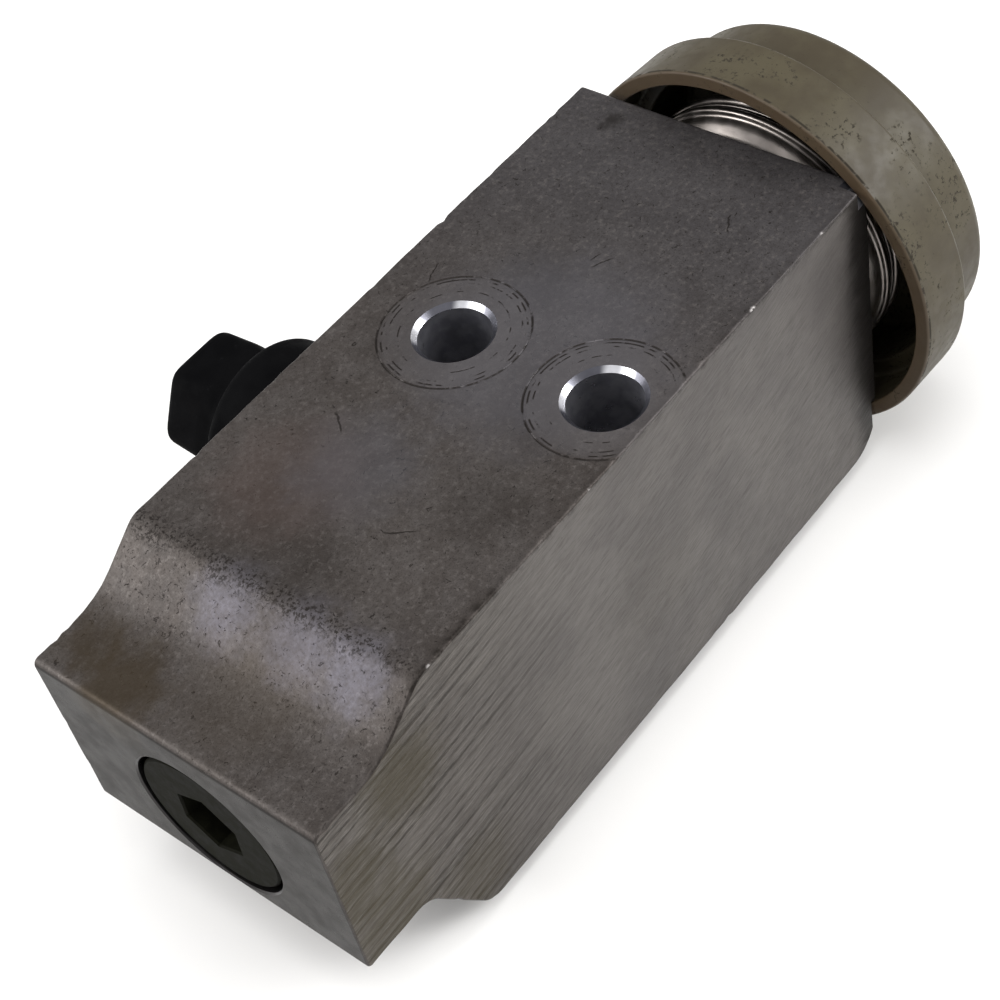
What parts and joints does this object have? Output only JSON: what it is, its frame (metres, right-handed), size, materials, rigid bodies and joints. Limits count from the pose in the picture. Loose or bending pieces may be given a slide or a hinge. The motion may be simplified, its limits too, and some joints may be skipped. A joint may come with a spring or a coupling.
{
  "type": "block expansion valve",
  "caption": "Block-type thermostatic expansion valve for an air-conditioning circuit, with a power head under a plastic cap, a hex-socket adjusting screw and a plugged side port.",
  "frame": {"origin": "on the pipe face (the block's underside), under the valve's axis and in the row of the two bolt holes", "axes": "+X along the valve's axis from the adjusting screw to the power head, +Z out of the face that takes the bolt heads, +Y out of the side with the plugged port"},
  "size_m": [0.089, 0.0524, 0.0404],
  "materials": {
    "cast_aluminium": "aged, matte",
    "olive_zinc": "dull olive plating",
    "stainless": "bright",
    "spring_steel": "drawn",
    "brass": "turned",
    "khaki_plastic": "aged, matte",
    "black_plastic": "matte",
    "green_rubber": "matte"
  },
  "bodies": {
    "block": {"valve_body": "cast_aluminium", "seat_ring": "brass", "pin_guide": "brass", "pin_o_ring": "green_rubber", "pin_seal_retainer": "spring_steel", "head_seal": "green_rubber", "head_lower_shell": "stainless", "diaphragm": "stainless", "head_upper_shell": "stainless", "charge_plug": "spring_steel", "protective_cap": "khaki_plastic"},
    "valve_train": {"sensing_rod": "stainless", "thrust_pad": "stainless", "valve_pin": "stainless", "valve_ball": "stainless", "ball_carrier": "spring_steel", "damper_ring": "spring_steel", "superheat_spring": "spring_steel"},
    "adjuster_slide": {"spring_seat": "spring_steel", "adjuster_o_ring": "green_rubber"},
    "adjuster": {"adjusting_screw": "olive_zinc"},
    "plug_slide": {"port_plug_o_ring": "green_rubber"},
    "plug": {"port_plug": "black_plastic"}
  },
  "joints": [
    {"name": "valve_lift", "type": "slide", "parent": "block", "child": "valve_train", "axis": [-1, 0, 0], "range_m": [0, 0.0008], "stiffness_N_per_m": 8000, "deforming": ["superheat_spring"]},
    {"name": "adjuster_travel", "type": "slide", "parent": "block", "child": "adjuster_slide", "axis": [1, 0, 0], "range_m": [-0.001, 0.001]},
    {"name": "adjuster_turn", "type": "hinge", "parent": "adjuster_slide", "child": "adjuster", "pos_m": [-0.04, 0, 0.0173], "axis": [1, 0, 0], "range_deg": [-362, 362]},
    {"name": "plug_travel", "type": "slide", "parent": "block", "child": "plug_slide", "axis": [0, 1, 0], "range_m": [0, 0.006]},
    {"name": "plug_turn", "type": "hinge", "parent": "plug_slide", "child": "plug", "pos_m": [-0.0096, 0.02, 0.0214], "axis": [0, 1, 0], "range_deg": [-4, 1444]}
  ],
  "couplings": [
    {"joint": "adjuster_turn", "follows": "adjuster_travel", "rad_per_m": 6283.2},
    {"joint": "plug_turn", "follows": "plug_travel", "rad_per_m": 4188.8}
  ]
}
